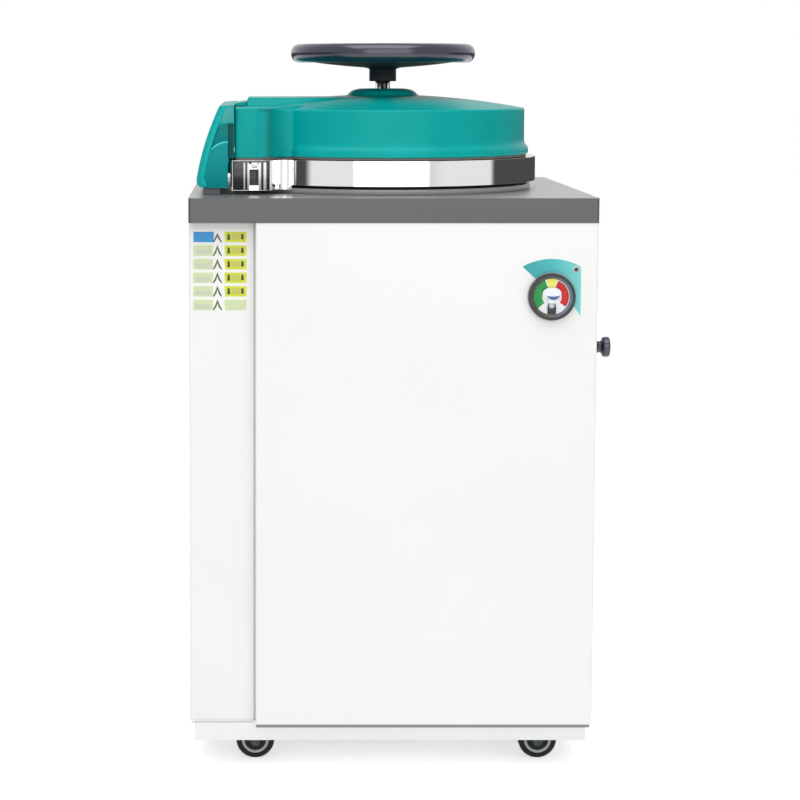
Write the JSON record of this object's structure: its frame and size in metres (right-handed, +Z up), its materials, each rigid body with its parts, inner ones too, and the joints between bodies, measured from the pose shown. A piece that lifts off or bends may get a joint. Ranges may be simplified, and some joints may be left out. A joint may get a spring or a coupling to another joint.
{
  "type": "vertical autoclave",
  "caption": "Free-standing vertical autoclave: square cabinet on casters, round pressure chamber, flip-up hinged lid locked by a handwheel and sliding bars.",
  "frame": {"origin": "on the floor plane, on the vertical axis of the pressure chamber", "axes": "+Z up along the chamber's axis, -Y towards the front panel with the gauge and label, +X towards the right side with the vent knob; the lid's hinge is on the -X side"},
  "size_m": [0.5866, 0.621, 1.0109],
  "materials": {
    "white_paint": "smooth semi-gloss powder coat",
    "grey_paint": "satin metallic grey paint",
    "teal_paint": "glossy moulded teal finish",
    "polished_steel": "polished stainless steel",
    "steel": "brushed stainless steel",
    "grey_bracket": "satin dark grey paint",
    "fork_grey": "dull zinc plated steel",
    "black_plastic": "glossy black phenolic",
    "matte_black": "matte black nylon",
    "rubber": "matte dark rubber",
    "silicone": "translucent silicone",
    "brass": "machined brass",
    "gauge_metal": "satin dark grey paint",
    "dial_face": "matt white print",
    "glass": "clear flat glass",
    "label_sheet": "printed vinyl sheet",
    "decal_sheet": "printed teal vinyl sheet",
    "red_lens": "unlit dark red lens",
    "insulation": "matt mineral wool",
    "blue_handle": "dipped blue vinyl"
  },
  "bodies": {
    "cabinet": {"base_tray": "white_paint", "inner_frame": "steel", "left_panel": "white_paint", "right_panel": "white_paint", "back_panel": "white_paint", "front_panel": "white_paint", "front_strip": "white_paint", "top_plate": "grey_paint", "step_label": "label_sheet", "gauge_decal": "decal_sheet", "indicator_lamp": "red_lens", "gauge_case": "gauge_metal", "gauge_dial": "dial_face", "gauge_glass": "glass", "vessel": "steel", "locking_ring": "polished_steel", "ring_collar": "grey_paint", "lid_seal": "silicone", "insulation_jacket": "insulation", "heater": "steel", "support_rack": "steel", "basket": "steel", "drain_pipe": "brass", "vent_pipe": "brass", "safety_valve": "brass", "control_box": "grey_paint", "main_switch": "matte_black", "cable_gland": "matte_black", "hinge_brackets": "grey_bracket", "hinge_shaft": "steel", "panel_screws": "steel", "caster_plates": "steel"},
    "lid": {"lid_cover": "teal_paint", "lid_plate": "steel", "hinge_housing": "teal_paint", "hinge_arms": "steel", "bar_guides": "steel", "shaft_bearing": "brass"},
    "handwheel_set": {"handwheel": "black_plastic", "wheel_shaft": "polished_steel", "scroll_disc": "steel"},
    "lock_bar_1": {"lock_bar_1": "steel"},
    "lock_bar_2": {"lock_bar_2": "steel"},
    "lock_bar_3": {"lock_bar_3": "steel"},
    "lock_bar_4": {"lock_bar_4": "steel"},
    "lock_bar_5": {"lock_bar_5": "steel"},
    "lock_bar_6": {"lock_bar_6": "steel"},
    "gauge_needle": {"gauge_needle": "matte_black"},
    "drain_lever": {"drain_lever": "blue_handle"},
    "vent_knob": {"vent_knob": "black_plastic"},
    "switch_rocker": {"switch_rocker": "matte_black"},
    "interlock_pin": {"interlock_pin": "polished_steel"},
    "caster_fork_1": {"caster_fork_1": "fork_grey"},
    "caster_wheel_1": {"caster_wheel_1": "rubber"},
    "caster_fork_2": {"caster_fork_2": "fork_grey"},
    "caster_wheel_2": {"caster_wheel_2": "rubber"},
    "caster_fork_3": {"caster_fork_3": "fork_grey"},
    "caster_wheel_3": {"caster_wheel_3": "rubber"},
    "caster_fork_4": {"caster_fork_4": "fork_grey"},
    "caster_wheel_4": {"caster_wheel_4": "rubber"}
  },
  "joints": [
    {"name": "lid_hinge", "type": "hinge", "parent": "cabinet", "child": "lid", "pos_m": [-0.25, 0, 0.84], "axis": [0, -1, 0], "range_deg": [0, 80]},
    {"name": "handwheel_turn", "type": "hinge", "parent": "lid", "child": "handwheel_set", "pos_m": [0, 0, 0.9], "axis": [0, 0, -1], "range_deg": [0, 432]},
    {"name": "lock_bar_1_slide", "type": "slide", "parent": "lid", "child": "lock_bar_1", "axis": [1, 0, 0], "range_m": [0, 0.01201]},
    {"name": "lock_bar_2_slide", "type": "slide", "parent": "lid", "child": "lock_bar_2", "axis": [0.5, 0.866, 0], "range_m": [0, 0.01201]},
    {"name": "lock_bar_3_slide", "type": "slide", "parent": "lid", "child": "lock_bar_3", "axis": [-0.5, 0.866, 0], "range_m": [0, 0.01201]},
    {"name": "lock_bar_4_slide", "type": "slide", "parent": "lid", "child": "lock_bar_4", "axis": [-1, 0, 0], "range_m": [0, 0.01201]},
    {"name": "lock_bar_5_slide", "type": "slide", "parent": "lid", "child": "lock_bar_5", "axis": [-0.5, -0.866, 0], "range_m": [0, 0.01201]},
    {"name": "lock_bar_6_slide", "type": "slide", "parent": "lid", "child": "lock_bar_6", "axis": [0.5, -0.866, 0], "range_m": [0, 0.01201]},
    {"name": "vent_knob_turn", "type": "hinge", "parent": "cabinet", "child": "vent_knob", "pos_m": [0.28, -0.215, 0.5867], "axis": [1, 0, 0], "range_deg": [0, 360]},
    {"name": "gauge_needle_swing", "type": "hinge", "parent": "cabinet", "child": "gauge_needle", "pos_m": [0.2157, -0.28, 0.6645], "axis": [0, 1, 0], "range_deg": [0, 300]},
    {"name": "drain_lever_turn", "type": "hinge", "parent": "cabinet", "child": "drain_lever", "pos_m": [0, 0.3, 0.134], "axis": [0, 0, -1], "range_deg": [0, 90]},
    {"name": "switch_rocker_tilt", "type": "hinge", "parent": "cabinet", "child": "switch_rocker", "pos_m": [-0.212, 0.28, 0.18], "axis": [1, 0, 0], "range_deg": [-16, 0]},
    {"name": "interlock_pin_slide", "type": "slide", "parent": "cabinet", "child": "interlock_pin", "axis": [0, 0, 1], "range_m": [0, 0.008]},
    {"name": "caster_swivel_1", "type": "hinge", "parent": "cabinet", "child": "caster_fork_1", "pos_m": [-0.2, -0.215, 0.05], "axis": [0, 0, 1], "continuous": true},
    {"name": "caster_roll_1", "type": "hinge", "parent": "caster_fork_1", "child": "caster_wheel_1", "pos_m": [-0.189, -0.215, 0.027], "axis": [0, 1, 0], "continuous": true},
    {"name": "caster_swivel_2", "type": "hinge", "parent": "cabinet", "child": "caster_fork_2", "pos_m": [0.2, -0.215, 0.05], "axis": [0, 0, 1], "continuous": true},
    {"name": "caster_roll_2", "type": "hinge", "parent": "caster_fork_2", "child": "caster_wheel_2", "pos_m": [0.211, -0.215, 0.027], "axis": [0, 1, 0], "continuous": true},
    {"name": "caster_swivel_3", "type": "hinge", "parent": "cabinet", "child": "caster_fork_3", "pos_m": [-0.2, 0.215, 0.05], "axis": [0, 0, 1], "continuous": true},
    {"name": "caster_roll_3", "type": "hinge", "parent": "caster_fork_3", "child": "caster_wheel_3", "pos_m": [-0.189, 0.215, 0.027], "axis": [0, 1, 0], "continuous": true},
    {"name": "caster_swivel_4", "type": "hinge", "parent": "cabinet", "child": "caster_fork_4", "pos_m": [0.2, 0.215, 0.05], "axis": [0, 0, 1], "continuous": true},
    {"name": "caster_roll_4", "type": "hinge", "parent": "caster_fork_4", "child": "caster_wheel_4", "pos_m": [0.211, 0.215, 0.027], "axis": [0, 1, 0], "continuous": true}
  ],
  "couplings": [
    {"joint": "lock_bar_1_slide", "follows": "handwheel_turn", "m_per_rad": 0.0015915},
    {"joint": "lock_bar_2_slide", "follows": "handwheel_turn", "m_per_rad": 0.0015915},
    {"joint": "lock_bar_3_slide", "follows": "handwheel_turn", "m_per_rad": 0.0015915},
    {"joint": "lock_bar_4_slide", "follows": "handwheel_turn", "m_per_rad": 0.0015915},
    {"joint": "lock_bar_5_slide", "follows": "handwheel_turn", "m_per_rad": 0.0015915},
    {"joint": "lock_bar_6_slide", "follows": "handwheel_turn", "m_per_rad": 0.0015915}
  ]
}
